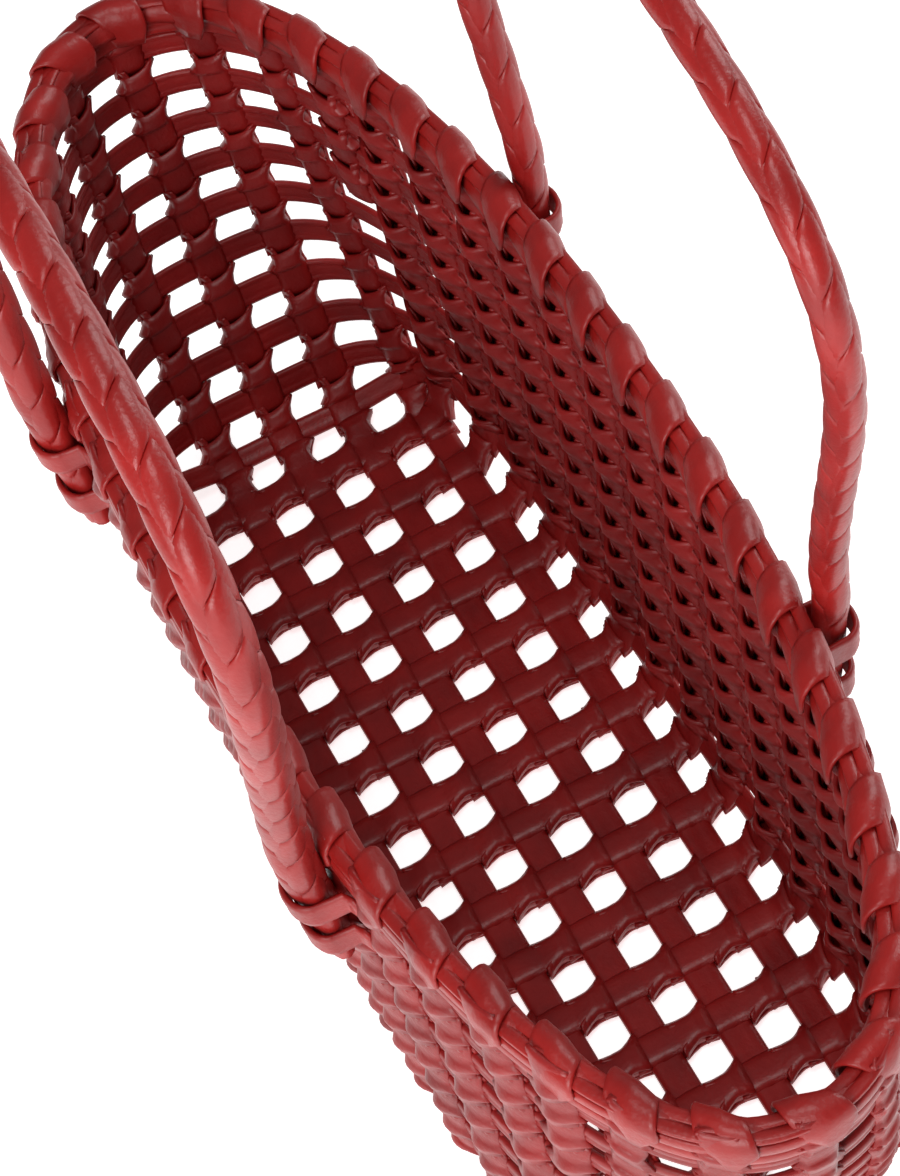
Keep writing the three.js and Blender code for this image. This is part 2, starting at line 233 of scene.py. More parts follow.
def quarter_uprights():
    """Base and rim shares of a quarter's uprights, from the end's middle to the side's."""
    points, shares = running_shares(0.0)
    found = []
    for n in range(LONG_COUNT // 2 + 1):
        found.append((("long", n), float(np.interp(n * LONG_PITCH, points[:, 1], shares))))
    for n in range(CROSS_COUNT // 2 - 1, -1, -1):
        x = (n + 0.5) * CROSS_PITCH
        found.append((("cross", n), float(np.interp(-x, -points[:, 0], shares))))
    corner = LONG_COUNT // 2 + 1
    middle = (found[corner - 1][1] + found[corner][1]) / 2
    found.insert(corner, (("corner", 0), middle))
    last = len(found) - 0.5
    return {upright: (base, place / last) for place, (upright, base) in enumerate(found)}


QUARTER = quarter_uprights()


def wall_frame(kind, number, sign_x, sign_y, height):
    """The middle of an upright at a height, with the direction into the basket."""
    base, rim = QUARTER[kind, number]
    points, shares = running_shares(height)
    share = mix(base, rim, height / RIM_HEIGHT)
    turn = np.interp(share, shares, OUTLINE_TURNS)
    place = outline_points(height, np.array([turn]))[0]
    ahead = outline_points(height, np.array([turn + TURN_STEP]))[0]
    behind = outline_points(height, np.array([turn - TURN_STEP]))[0]
    along = ahead - behind
    along = along / np.linalg.norm(along)
    out = np.array([along[1] * sign_x, -along[0] * sign_y, 0.0])
    middle = np.array([place[0] * sign_x, place[1] * sign_y, height])
    return middle + out * WALL_MIDDLE, -out


# ---------------------------------------------------------------- the lines of the weave
LINE_STEP = 0.5
LINE_BEND = 9               # how far each side of a point its path is smoothed
foot_places = []            # where the lines cross the foot band


class Line:
    """A patterned line: a smooth path with directions across it and into the basket."""

    def __init__(self, points, inward, crossings):
        points = np.asarray(points, float)
        lengths = running_lengths(points)
        self.at = np.arange(0, lengths[-1], LINE_STEP)
        path = sample(lengths, points, self.at)
        normal = sample(lengths, np.asarray(inward, float), self.at)
        reach = int(LINE_BEND / LINE_STEP)
        kernel = hanning_kernel(reach * 2 + 1)
        self.path = self.smooth(path, kernel, reach)
        normal = self.smooth(normal, kernel, reach)
        tangent = unit(np.gradient(self.path, axis=0))
        self.across = unit(np.cross(tangent, normal))
        self.inward = np.cross(self.across, tangent)
        self.crossings = np.array([self.nearest(p) for p in crossings])

    @staticmethod
    def smooth(values, kernel, reach):
        """Smoothed rows, with both ends carried on straight."""
        before = values[0] + (values[0] - values[1]) * np.arange(reach, 0, -1)[:, None]
        after = values[-1] + (values[-1] - values[-2]) * np.arange(1, reach + 1)[:, None]
        padded = np.concatenate([before, values, after])
        return np.stack([np.convolve(padded[:, n], kernel, "valid") for n in range(3)], -1)

    def add_foot(self, order, run):
        """Adds the crossing with the foot band, and notes where that band runs."""
        self.crossings = np.insert(self.crossings, order, run)
        row = int(round(run / LINE_STEP))
        middle, inward = self.path[row], self.inward[row]
        upward = np.cross(inward, self.across[row])
        upward = upward * math.copysign(1, upward[2])
        foot_places.append(np.concatenate([middle, upward, inward]))

    def nearest(self, point):
        """The running length of the path's nearest place to a point."""
        return self.at[np.linalg.norm(self.path - np.asarray(point), axis=1).argmin()]

    def place(self, order, u, n):
        """Points at crossing number order (with a fraction), u across and n inward."""
        numbers = np.arange(len(self.crossings))
        first, last = self.crossings[0], self.crossings[-1]
        before = self.crossings[1] - first
        after = last - self.crossings[-2]
        run = np.interp(order, numbers, self.crossings)
        run = run + np.minimum(order, 0) * before + np.maximum(order - numbers[-1], 0) * after
        across = sample(self.at, self.across, run)
        inward = sample(self.at, self.inward, run)
        beyond = np.clip(run - self.at[-1], 0, None) + np.clip(run, None, 0)
        middle = sample(self.at, self.path, run) + np.cross(inward, across) * beyond[..., None]
        return middle + across * u[..., None] + inward * n[..., None]


def wall_run(kind, number, sign_x, sign_y, heights):
    """Points of an upright at some heights, and the directions into the basket."""
    frames = [wall_frame(kind, number, sign_x, sign_y, h) for h in heights]
    return [middle for middle, _ in frames], [inward for _, inward in frames]


def wall_crossings(kind, number, sign_x, sign_y, heights):
    return wall_run(kind, number, sign_x, sign_y, heights)[0]


LINE_TOP = RIM_HEIGHT + 4
WALL_SAMPLES = np.arange(LINE_TOP, FOOT_HEIGHT - 0.1, -3.5)
CORNER_SAMPLE_STEP = -3.0
CORNER_OVERHANG = BAND_PITCH * 0.8
DOWN_HEIGHTS = [RIM_CROSSING] + BAND_HEIGHTS[::-1]
UPWARD = np.array([0, 0, 1.0])
LAST_CROSS = (CROSS_COUNT - 1) / 2 * CROSS_PITCH
FOOT_REACH = 17.2           # from the base's outer crossing to the foot band's
FOOT_BEND = 6.5             # from a side wall's foot to the flat part of the base
END_BEND = 8                # the same for an end wall's foot


def cross_line(place):
    """Down the far wall, across the base and up the near one."""
    number = int(abs(place) - 0.5)
    sign_x = math.copysign(1, place)
    far, far_in = wall_run("cross", number, sign_x, -1, WALL_SAMPLES)
    near, near_in = wall_run("cross", number, sign_x, 1, WALL_SAMPLES)
    reach = abs(far[-1][1]) - FOOT_BEND
    flat_y = np.linspace(-reach, reach, 12)
    flat = [np.array([place * CROSS_PITCH, y, BASE_MIDDLE]) for y in flat_y]
    up = [UPWARD] * len(flat)
    centre = (LONG_COUNT - 1) / 2
    crossings = wall_crossings("cross", number, sign_x, -1, DOWN_HEIGHTS)
    for n in range(LONG_COUNT):
        crossings.append([place * CROSS_PITCH, (n - centre) * LONG_PITCH, BASE_MIDDLE])
    crossings += wall_crossings("cross", number, sign_x, 1, DOWN_HEIGHTS[::-1])
    line = Line(far + flat + near[::-1], far_in + up + near_in[::-1], crossings)
    walls = len(DOWN_HEIGHTS)
    line.add_foot(walls, line.crossings[walls] - FOOT_REACH)
    line.add_foot(walls + LONG_COUNT + 1, line.crossings[walls + LONG_COUNT] + FOOT_REACH)
    return line


def end_line(number, sign_x, sign_y):
    """Down the far end wall, or up the near one, from or to the base's last cross line."""
    wall, wall_in = wall_run("long", number, sign_x, sign_y, WALL_SAMPLES)
    foot = wall[-1]
    y = sign_y * number * LONG_PITCH
    flat_x = np.linspace(abs(foot[0]) - END_BEND, LAST_CROSS - END_BEND, 5)
    flat = [np.array([sign_x * x, y, BASE_MIDDLE]) for x in flat_x]
    up = [UPWARD] * len(flat)
    crossings = wall_crossings("long", number, sign_x, sign_y, DOWN_HEIGHTS)
    crossings.append([sign_x * LAST_CROSS, y, BASE_MIDDLE])
    points, inward = wall + flat, wall_in + up
    if sign_x < 0:
        points, inward, crossings = points[::-1], inward[::-1], crossings[::-1]
    line = Line(points, inward, crossings)
    if sign_x > 0:
        line.add_foot(len(crossings) - 1, line.crossings[-1] - FOOT_REACH)
    else:
        line.add_foot(1, line.crossings[0] + FOOT_REACH)
    return line


def corner_line(sign_x, sign_y):
    """Down a far corner or up a near one, above the rounded foot of the wall."""
    bottom = BAND_HEIGHTS[CORNER_START_BAND] - CORNER_OVERHANG
    samples = np.arange(LINE_TOP, bottom, CORNER_SAMPLE_STEP)
    points, inward = wall_run("corner", 0, sign_x, sign_y, samples)
    heights = [RIM_CROSSING] + BAND_HEIGHTS[:CORNER_START_BAND - 1:-1]
    crossings = wall_crossings("corner", 0, sign_x, sign_y, heights)
    if sign_y > 0:
        points, inward, crossings = points[::-1], inward[::-1], crossings[::-1]
    return Line(points, inward, crossings)


# ---------------------------------------------------------------- one scale of a line
SCALE_COLUMNS = np.linspace(-1, 1, 9)
WAIST_START = 0.22
WAIST_SPAN = 0.56
FLARE_POWER = 1.3
ROLL_POWER = 7
BULGE_DROP = 0.45
TURN_ROWS = 13
TURN_END = 2.1              # where a turned edge ends, as a share of its run to the waist
TURN_INSET = 0.2
TURN_RADIUS = 1.7
TURN_HALF_DEPTH = 2.05
TURN_ANGLE = 84
TURN_STRAP = STRAP * 0.8


def waist(v):
    """The half width of a line at v, which is least midway between two strips."""
    share = np.clip((v - WAIST_START) / WAIST_SPAN, 0, 1)
    return STRAP_HALF_WIDTH - STRAP_WAIST * np.sin(np.pi * share)


def edge_reach(v, start, end):
    """How far a scale's edge stands out past its waist, from the flare at start to end."""
    bend = np.clip((end - v) / (end - start), 0, 1)
    return STRAP_FLARE * bend ** FLARE_POWER


def scale_grid(top, crease, bend, flat_end, sag, bulge, width=1.0, roll=EDGE_ROLL):
    """The strap that shows from crossing 0 to crossing 1: u across, n out, v along.

    Along v it starts at top, is highest at crease, comes down at bend and lies flat as far as
    flat_end. top and crease each have a place for the right edge and one for the left.
    """
    b = SCALE_COLUMNS
    arch = sag * (1 - b * b)
    top = mix(*top, (1 - b) / 2) + arch
    crease = mix(*crease, (1 - b) / 2) + arch * 0.8
    keys = [
        # place along v, place out of the line
        (top, 1.95),
        (mix(top, crease, 0.5), 2.15),
        (crease - 0.03, 2.44),
        (crease, 2.50),
        (crease + 0.035, 2.38),
        (mix(crease, bend, 0.6), 1.95),
        (bend - 0.02 + 0 * b, 1.60),
        (bend + 0.03 + 0 * b, 1.46),
        (mix(bend, flat_end, 0.55) + 0 * b, 1.42),
        (flat_end - 0.03 + 0 * b, 1.25),
        (flat_end + 0.08 + 0 * b, 0.85),
        (flat_end + 0.20 + 0 * b, 0.30),
    ]
    rows = []
    for place, (v, n) in enumerate(keys):
        right = edge_reach(v, top.min(), crease.mean())
        left = edge_reach(1 - v, 1 - bend - 0.02, 1 - crease.mean())
        left = np.where(v > bend, 0, left)
        u = b * (waist(v) + np.where(b > 0, right, left)) * width
        camber = 0.25 * (1 - np.abs(b) ** 3) - 0.15 - roll * np.abs(b) ** ROLL_POWER
        fade = 1 - (place / (len(keys) - 1)) ** 2
        camber = camber + bulge * (1 - b * b - BULGE_DROP) * fade
        rows.append(np.stack([u, n + camber, v], -1))
    return np.array(rows)


def turn_grid(start, end, side):
    """A strap turning round the edge of a line, then closing the edge along its waist."""
    rows = []
    turns = np.radians(np.linspace(-TURN_ANGLE, TURN_ANGLE, 9))
    for share in np.linspace(0, TURN_END, TURN_ROWS):
        v = mix(start, end, share)
        reach = waist(v) + STRAP_FLARE * max(1 - share, 0) ** FLARE_POWER - TURN_INSET
        u = reach - TURN_RADIUS + TURN_RADIUS * np.cos(turns)
        n = TURN_HALF_DEPTH * np.sin(turns)
        rows.append(np.stack([u * side, n, v + 0 * u], -1))
    return np.array(rows)


BASE_SCALE = scale_grid((0.20, 0.22), (0.44, 0.46), 0.733, 1.20, 0.0, 0.0)
WALL_SCALE = scale_grid((0.27, 0.385), (0.62, 0.67), 0.80, 1.22, 0.06, 0.3)
SIDE_SCALE = scale_grid((0.16, 0.26), (0.44, 0.52), 0.76, 1.20, 0.14, 3.9, 1.32, 0.0)
SIDE_OUTER_SCALE = scale_grid((0.10, 0.36), (0.42, 0.62), 0.82, 1.25, 0.16, 2.9, 1.28, 0.0)
FOOT_SCALE = scale_grid((0.22, 0.24), (0.46, 0.48), 0.76, 1.22, 0.0, 0.6)
EARLY_TURN = turn_grid(0.25, 0.50, 1)
LATE_TURN = turn_grid(0.75, 0.50, -1)
JITTER = (0.12, 0.35, 0.035)
JITTER_CENTRE = 0.7


def place_grid(line, order, grid, side, hand, jitter=(0, 0, 0)):
    """Puts a grid of (u, n, v) on a line: side 1 is its inner face and -1 its outer one."""
    shift, turn, lift = jitter
    u = grid[..., 0] * hand + shift + (grid[..., 2] - JITTER_CENTRE) * turn
    n = grid[..., 1] * side * (1 + lift)
    return line.place(order + grid[..., 2], u, n)


def add_cell(shell, line, order, inner_scale, outer_scale, hand):
    """One scale on each face of a line and the two edges that turn between the faces."""
    for side, scale in ((1, inner_scale), (-1, outer_scale)):
        jitter = random.normal(0, JITTER)
        shell.add_plate(place_grid(line, order, scale, side, hand, jitter), STRAP)
    for turn in (EARLY_TURN, LATE_TURN):
        shell.add_plate(place_grid(line, order, turn, 1, hand), TURN_STRAP)


# ---------------------------------------------------------------- rings round the wall
RING_STEPS = 360


def ring_frames(height, steps=RING_STEPS):
    """Evenly spaced points of the outline, with the directions out of the wall."""
    turns = np.linspace(0, 2 * np.pi, 4001)
    points = outline_points(height, turns)
    lengths = running_lengths(points)
    middle = sample(lengths, points, np.arange(steps) / steps * lengths[-1])
    along = unit(np.roll(middle, -1, 0) - np.roll(middle, 1, 0))
    out = np.stack([along[:, 1], -along[:, 0]], -1)
    flat = np.zeros((steps, 1))
    return np.hstack([middle, flat + height]), np.hstack([out, flat])


def ring_grid(middle_height, half_width, out, profile):
    """A strip round the wall. profile lifts its columns out of the strip's own plane."""
    columns = []
    for share, lift in zip(np.linspace(-1, 1, len(profile)), profile):
        height = middle_height + share * half_width
        points, outward = ring_frames(min(height, RIM_HEIGHT))
        points = points + outward * (out + lift)
        points[:, 2] = height
        columns.append(points)
    return np.stack(columns, 1)


FOLDED = (-0.15, 0.22, 0.28, -0.10, 0.28, 0.22, -0.15)
BASE_FOLD = 0.5
FOOT_FOLD = 0.6


def folded_strip(points, across, half_width, up, fold):
    """The grid of a strip along a run of points, with a folded profile fold times as high."""
    columns = [points + across * share * half_width + up * lift * fold
               for share, lift in zip(np.linspace(-1, 1, len(FOLDED)), FOLDED)]
    return np.stack(columns, 1)


# ---------------------------------------------------------------- rim
HOOD_HALF_LENGTH = 6.2
RIM_MIDDLE_OUT = -1.7
RIM_MIDDLE_HEIGHT = 129.5
HOOD_OUT = 4.6
HOOD_UP = 5.6
HOOD_LEG = 5.5
HOOD_STRAP = 1.2
HOOD_SLANT = 1.8            # how far a hood's two ends are set apart along the rim
HOOD_SWELL = 0.95
HOOD_TILT = 0.26            # how much more a hood swells at one edge than at the other
HOOD_CAMBER = 0.17
HOOD_OUTER_LIMIT = 2.9      # the furthest out of the outline that a hood reaches
HOOD_INNER_TAPER = 0.35
HOOD_OUTER_TAPER = 0.75
HOOD_LENGTH_SPREAD = 0.03
HOOD_SIZE_SPREAD = 0.025
LINK_START = 4.5            # past the middle of the hood that a link comes from
LINK_END = 4.0              # before the middle of the hood that it runs to
LINK_STRAP = 1.0
LINK_DROP = 1.2             # how far a link's middle lies below a hood's
LINK_LEAN = 2.0
LINK_SWELL = (0.92, 0.62)
RIM_STEPS = 2400
# Height, half width and distance out of the outline of each strip on the rim's two faces.
RIM_SIDE_STRIPS = ((124.6, 1.9, -2.2), (124.6, 1.9, 1.6), (128.9, 1.9, -2.4), (128.9, 1.9, 1.6))
RIM_SIDE_PROFILE = (-0.1, 0.25, 0.35, 0.25, -0.1)
RIM_SIDE_STRAP = 1.4
RIM_TOP_STRIPS = (-2.7, 0.6)
RIM_TOP_COLUMNS = (1.3, 0.65, 0, -0.65, -1.3)
RIM_TOP_LIFT = 1.6
RIM_TOP_CAMBER = 0.3
RIM_TOP_STRAP = 1.3


def rim_uprights():
    """Places of the uprights as shares of the rim's whole outline, and the outline's length."""
    points, _ = running_shares(RIM_HEIGHT)
    quarter_length = np.linalg.norm(np.diff(points, axis=0), axis=1).sum()
    places = set()
    for _, share in QUARTER.values():
        for place in (share, 2 - share, 2 + share, 4 - share):
            places.add(round(place % 4 / 4, 6))
    return sorted(places), quarter_length * 4


class RimPath:
    """Places (along, out, height) on the rim."""

    def __init__(self):
        self.points, self.out = ring_frames(RIM_HEIGHT, RIM_STEPS)
        self.places, self.length = rim_uprights()

    def place(self, along, out, height):
        at = (np.asarray(along) / self.length * RIM_STEPS) % RIM_STEPS
        low = np.floor(at).astype(int) % RIM_STEPS
        high = (low + 1) % RIM_STEPS
        share = (at - np.floor(at))[..., None]
        middle = mix(self.points[low], self.points[high], share)
        outward = mix(self.out[low], self.out[high], share)
        placed = middle + outward * np.asarray(out)[..., None]
        placed[..., 2] = height
        return placed


def hood_grid(rim, middle, half, size=1.0):
    """A strap folded over the rim, open at opposite ends on its two faces."""
    b = np.linspace(-1, 1, 11)
    stations = [(-90, HOOD_LEG), (-90, HOOD_LEG / 2)]
    stations += [(degrees, 0) for degrees in np.linspace(-90, 90, 13)]
    stations += [(90, HOOD_LEG / 2), (90, HOOD_LEG * 0.9)]
    rows = []
    for degrees, drop in stations:
        turn = math.radians(degrees)
        inner = -math.sin(turn)
        swell = HOOD_SWELL - HOOD_TILT * b * inner + HOOD_CAMBER * (1 - np.abs(b) ** 1.1)
        swell = swell * size
        taper = HOOD_INNER_TAPER if degrees < 0 else HOOD_OUTER_TAPER
        narrow = 1 - taper * drop / HOOD_LEG
        along = middle + b * half * narrow - HOOD_SLANT * inner
        out = RIM_MIDDLE_OUT + HOOD_OUT * math.sin(turn) * swell
        out = np.minimum(out, HOOD_OUTER_LIMIT - 0.25 * drop / HOOD_LEG)
        height = RIM_MIDDLE_HEIGHT + HOOD_UP * math.cos(turn) * swell - drop
        rows.append(rim.place(along, out, height))
    return np.array(rows)


def link_grid(rim, start, end):
    """The strap that runs from one hood down under the next one."""
    rows = []
    s = np.linspace(0, 1, 6)
    swell = mix(*LINK_SWELL, s)
    for degrees in np.linspace(-95, 35, 9):
        turn = math.radians(degrees)
        along = mix(start, end, s) + LINK_LEAN * math.sin(turn)
        out = RIM_MIDDLE_OUT + HOOD_OUT * math.sin(turn) * swell
        height = RIM_MIDDLE_HEIGHT - LINK_DROP + HOOD_UP * math.cos(turn) * swell
        rows.append(rim.place(along, out, height))
    return np.array(rows)


# ---------------------------------------------------------------- handles
HANDLE_RADIUS = 5.5
HANDLE_RISE = 195.5
HANDLE_FOOT_HEIGHT = RIM_HEIGHT - 33.5
HANDLE_FOOT_X = 72.8
HANDLE_BOW = 1.93
HANDLE_ROUNDNESS = 0.93
PIVOT_HEIGHT = RIM_HEIGHT + 10.5
TAIL_TOP = 135.6
TAIL_LENGTH = 44.0
TAIL_FOOT_RADIUS = 3.6
WALL_OUTER = 2.7
TAIL_CLEARANCE = 0.6
BRAID_SLIMNESS = {"left": 0.84, "right": 1.0}
BRAID_LAY = 27.0
BRAID_STRAP_HALF = 4.4
BRAID_DEPTH = 0.5
BRAID_STRAP = 1.1
BRAID_RADIUS = 4.1
BRAID_CAMBER = 0.35
BRAID_CORE_INSET = 1.5
BRAID_CORE_WALL = 0.8
BRAID_END = 4               # how far the straps run on past the rope's two ends
ROPE_POINTS = 600
ROPE_SMOOTHING = 6


def wall_y(x, height):
    """The outline's half width at a distance from the basket's middle."""
    length, width, power = outline_sizes(min(height, RIM_HEIGHT))
    return width * (1 - (abs(x) / length) ** power) ** (1 / power)


def tail_place(drop):
    """Centre and half depth of a tail at a distance below its top."""
    share = np.clip(drop / TAIL_LENGTH, 0, 1.1)
    radius = mix(HANDLE_RADIUS, TAIL_FOOT_RADIUS, share)
    height = TAIL_TOP - drop
    y = wall_y(HANDLE_FOOT_X, height) + WALL_OUTER + TAIL_CLEARANCE + radius
    return mix(arch_point(arch_start())[0], HANDLE_FOOT_X, share), y, height, radius


def arch_start():
    """The turn of the arch at the height of the hinge."""
    rise = (PIVOT_HEIGHT - HANDLE_FOOT_HEIGHT) / HANDLE_RISE
    return math.asin(rise ** (1 / HANDLE_ROUNDNESS))


def arch_point(turn):
    """Place and height of the arch at a turn."""
    sine = math.sin(turn)
    x = HANDLE_FOOT_X * math.cos(turn) * (1 + HANDLE_BOW * sine ** 2)
    return x, HANDLE_FOOT_HEIGHT + HANDLE_RISE * sine ** HANDLE_ROUNDNESS


class Rope:
    """The middle line of a handle with its tails, and its half sizes, by running length."""

    def __init__(self, sign_y, slimness):
        tail = [tail_place(drop) for drop in np.linspace(TAIL_LENGTH, 0, 12)]
        top_y = tail[-1][1]
        start = arch_start()
        arch = [arch_point(t) for t in np.linspace(start, math.pi - start, 160)]
        line = tail + [(x, top_y, z, HANDLE_RADIUS) for x, z in arch]
        line += [(-x, y, z, radius) for x, y, z, radius in tail[::-1]]
        line = np.array(line)
        line[:, 1] *= sign_y
        lengths = running_lengths(line[:, :3])
        self.length = lengths[-1]
        self.at = np.linspace(0, self.length, ROPE_POINTS)
        table = sample(lengths, line, self.at)
        kernel = np.hanning(ROPE_SMOOTHING * 2 + 1)
        kernel /= kernel.sum()
        self.middle = table[:, :3]
        for n in range(3):
            padded = np.pad(self.middle[:, n], ROPE_SMOOTHING, mode="reflect", reflect_type="odd")
            self.middle[:, n] = np.convolve(padded, kernel, "valid")
        self.slimness = slimness
        self.radius = table[:, 3] * slimness
        tangent = unit(np.gradient(self.middle, axis=0))
        side = np.array([0, 1.0, 0])
        self.normal = unit(np.cross(side, tangent))
        self.side = np.cross(tangent, self.normal)

    def place(self, run, angle, radius):
        """Points round the middle line, which is flatter where its half depth is less."""
        run = np.clip(run, 0, self.length)
        middle = sample(self.at, self.middle, run)
        normal = sample(self.at, self.normal, run)
        side = sample(self.at, self.side, run)
        flat = np.interp(run, self.at, self.radius) / HANDLE_RADIUS
        normal = normal * (radius * self.slimness * np.cos(angle))[..., None]
        side = side * (radius * flat * np.sin(angle))[..., None]
        return middle + normal + side


def braid_strand(rope, phase, way):
    """One of the four straps of a round braid."""
    circle = 2 * math.pi * BRAID_RADIUS
    slant = math.atan2(circle, BRAID_LAY)
    run = np.arange(-BRAID_END, rope.length + BRAID_END, 1.0)
    across = np.linspace(-1, 1, 9)
    s, b = np.meshgrid(run, across, indexing="ij")
    angle = way * (s / BRAID_LAY * 2 * math.pi) + phase
    offset = b * BRAID_STRAP_HALF
    place = s - offset * math.sin(slant) * way
    angle = angle + offset * math.cos(slant) / BRAID_RADIUS
    lift = way * np.cos(2 * angle)
    radius = BRAID_RADIUS + BRAID_DEPTH * lift + BRAID_CAMBER * (1 - b * b)
    return rope.place(place, angle, radius)


def braid(sign_y, slimness):
    """Four straps plaited round a core, from one tail's end to the other's."""
    shell = Shell()
    rope = Rope(sign_y, slimness)
    for way in (1, -1):
        for phase in (0, math.pi):
            shell.add_plate(braid_strand(rope, phase, way), BRAID_STRAP)
    core_turns = np.linspace(0, 2 * math.pi, 13)
    s, a = np.meshgrid(np.arange(1, rope.length - 1, 2.5), core_turns, indexing="ij")
    radius = 0 * s + BRAID_RADIUS - BRAID_CORE_INSET
    shell.add_plate(rope.place(s, a, radius), BRAID_CORE_WALL)
    return shell


# ---------------------------------------------------------------- keepers
KEEPER_WIDTH = 7.0
KEEPER_DROPS = (14, 30)
KEEPER_STRAP = 1.3
KEEPER_SIDE_ROOM = 1.2
KEEPER_OUTER_ROOM = 1.3
KEEPER_SQUARENESS = 0.8
KEEPER_FOOT_RISE = 1.2
KEEPER_TUCKS = ((4.5, 2.6), (2.0, 3.2))     # past the loop, and out of the wall
KEEPER_PROFILE = (-0.25, 0.12, -0.08, 0.1, -0.08, 0.12, -0.25)
KEEPER_LEAN = 0.1


def keeper(sign_x, sign_y, drop):
    """A smooth strap over a tail, tucked into the weave at each side."""
    x, y, z, radius = tail_place(drop + KEEPER_WIDTH / 2)
    leg = HANDLE_RADIUS + KEEPER_SIDE_ROOM
    turns = np.linspace(0, math.pi, 15)
    before = [-leg - past for past, _ in KEEPER_TUCKS]
    after = [leg + past for past, _ in KEEPER_TUCKS[::-1]]
    across = np.concatenate([before, -leg * np.cos(turns), after])
    tucks = [raised for _, raised in KEEPER_TUCKS]
    out = np.concatenate([
        [wall_y(x + place, z) + raised for place, raised in zip(before, tucks)],
        y + (radius + KEEPER_OUTER_ROOM) * np.sin(turns) ** KEEPER_SQUARENESS,
        [wall_y(x + place, z) + raised for place, raised in zip(after, tucks[::-1])],
    ])
    out[2] = out[1] + KEEPER_FOOT_RISE
    out[-3] = out[-2] + KEEPER_FOOT_RISE
    columns = []
    for share, lift in zip(np.linspace(-1, 1, len(KEEPER_PROFILE)), KEEPER_PROFILE):
        rise = share * KEEPER_WIDTH / 2
        outward = sign_y * (out + lift + KEEPER_LEAN * rise)
        columns.append(np.stack([sign_x * (x + across), outward, 0 * across + z + rise], -1))
    shell = Shell()
    shell.add_plate(np.stack(columns, 1), KEEPER_STRAP)
    return shell


# ---------------------------------------------------------------- materials
PATCH_SCALE = 60
PORE_SCALE = 900


def leather(name, dark, light, roughness):
    """Smooth leather: patchy colour, with fine pores in its surface and gloss."""
    material = bpy.data.materials.new(name)
    material.use_nodes = True
    nodes, links = material.node_tree.nodes, material.node_tree.links
    shader = nodes["Principled BSDF"]
    place = nodes.new("ShaderNodeTexCoord")
    patches = nodes.new("ShaderNodeTexNoise")
    patches.inputs["Scale"].default_value = PATCH_SCALE
    patches.inputs["Detail"].default_value = 4
    links.new(place.outputs["Object"], patches.inputs["Vector"])
    ramp = nodes.new("ShaderNodeValToRGB")
    ramp.color_ramp.elements[0].position = 0.3
    ramp.color_ramp.elements[0].color = (*dark, 1)
    ramp.color_ramp.elements[1].position = 0.7
    ramp.color_ramp.elements[1].color = (*light, 1)
    links.new(patches.outputs["Fac"], ramp.inputs["Fac"])
    links.new(ramp.outputs["Color"], shader.inputs["Base Color"])
    pores = nodes.new("ShaderNodeTexNoise")
    pores.inputs["Scale"].default_value = PORE_SCALE
    pores.inputs["Detail"].default_value = 6
    links.new(place.outputs["Object"], pores.inputs["Vector"])
    bump = nodes.new("ShaderNodeBump")
    bump.inputs["Strength"].default_value = 0.35
    bump.inputs["Distance"].default_value = 0.0004
    links.new(pores.outputs["Fac"], bump.inputs["Height"])
    links.new(bump.outputs["Normal"], shader.inputs["Normal"])
    span = nodes.new("ShaderNodeMapRange")
    span.inputs["To Min"].default_value = roughness - 0.07
    span.inputs["To Max"].default_value = roughness + 0.10
    links.new(pores.outputs["Fac"], span.inputs["Value"])
    links.new(span.outputs["Result"], shader.inputs["Roughness"])
    shader.inputs["Specular IOR Level"].default_value = 0.42
    shader.inputs["Coat Weight"].default_value = 0.06
    shader.inputs["Coat Roughness"].default_value = 0.25
    return material


weave_leather = leather("weave_leather", (0.20, 0.005, 0.005), (0.33, 0.011, 0.010), 0.40)
rim_leather = leather("rim_leather", (0.24, 0.007, 0.006), (0.37, 0.013, 0.011), 0.38)
handle_leather = leather("handle_leather", (0.26, 0.008, 0.007), (0.39, 0.016, 0.014), 0.34)


# ---------------------------------------------------------------- building the pieces
def finish_piece(shell, name, material, slot, body, *nodes):
    """Builds a piece and hides the CAD nodes it stands for; slot is not used."""
    piece = shell.build(name, material, body)
    if nodes:
        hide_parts(*nodes)
    return piece


def build_cross_lines():
    middle = (CROSS_COUNT - 1) / 2
    walls = len(DOWN_HEIGHTS) + 1
    for n in range(CROSS_COUNT):
        line = cross_line(n - middle)
        shell = Shell()
        for order in range(len(line.crossings) - 1):
            scales = SIDE_SCALE, SIDE_OUTER_SCALE
            if walls <= order < walls + LONG_COUNT - 1:
                scales = BASE_SCALE, BASE_SCALE
            elif order in (walls - 1, walls + LONG_COUNT - 1):
                scales = FOOT_SCALE, FOOT_SCALE
            add_cell(shell, line, order, *scales, 1)
        finish_piece(shell, f"cross_line_{n + 1}", weave_leather, "weave_leather", "basket",
                     f"cross_strap_{n + 1}")


def build_long_lines():
    middle = (LONG_COUNT - 1) // 2
    for n in range(LONG_COUNT):
        shell = Shell()
        number, sign_y = abs(n - middle), math.copysign(1, n - middle)
        for sign_x in (-1, 1):
            line = end_line(number, sign_x, sign_y)
            foot = len(line.crossings) - 2 if sign_x > 0 else 0
            for order in range(len(line.crossings) - 1):
                scale = FOOT_SCALE if order == foot else WALL_SCALE
                add_cell(shell, line, order, scale, scale, -1)
        x = np.linspace(-LAST_CROSS - 6, LAST_CROSS + 6, 60)
        points = np.stack([x, 0 * x + (n - middle) * LONG_PITCH, 0 * x + BASE_MIDDLE], -1)
        across = np.array([0, 1.0, 0])
        grid = folded_strip(points, across, LONG_STRIP_WIDTH / 2, UPWARD, BASE_FOLD)
        shell.add_plate(grid, STRIP_THICKNESS)
        finish_piece(shell, f"long_line_{n + 1}", weave_leather, "weave_leather", "basket",
                     f"long_strap_{n + 1}")


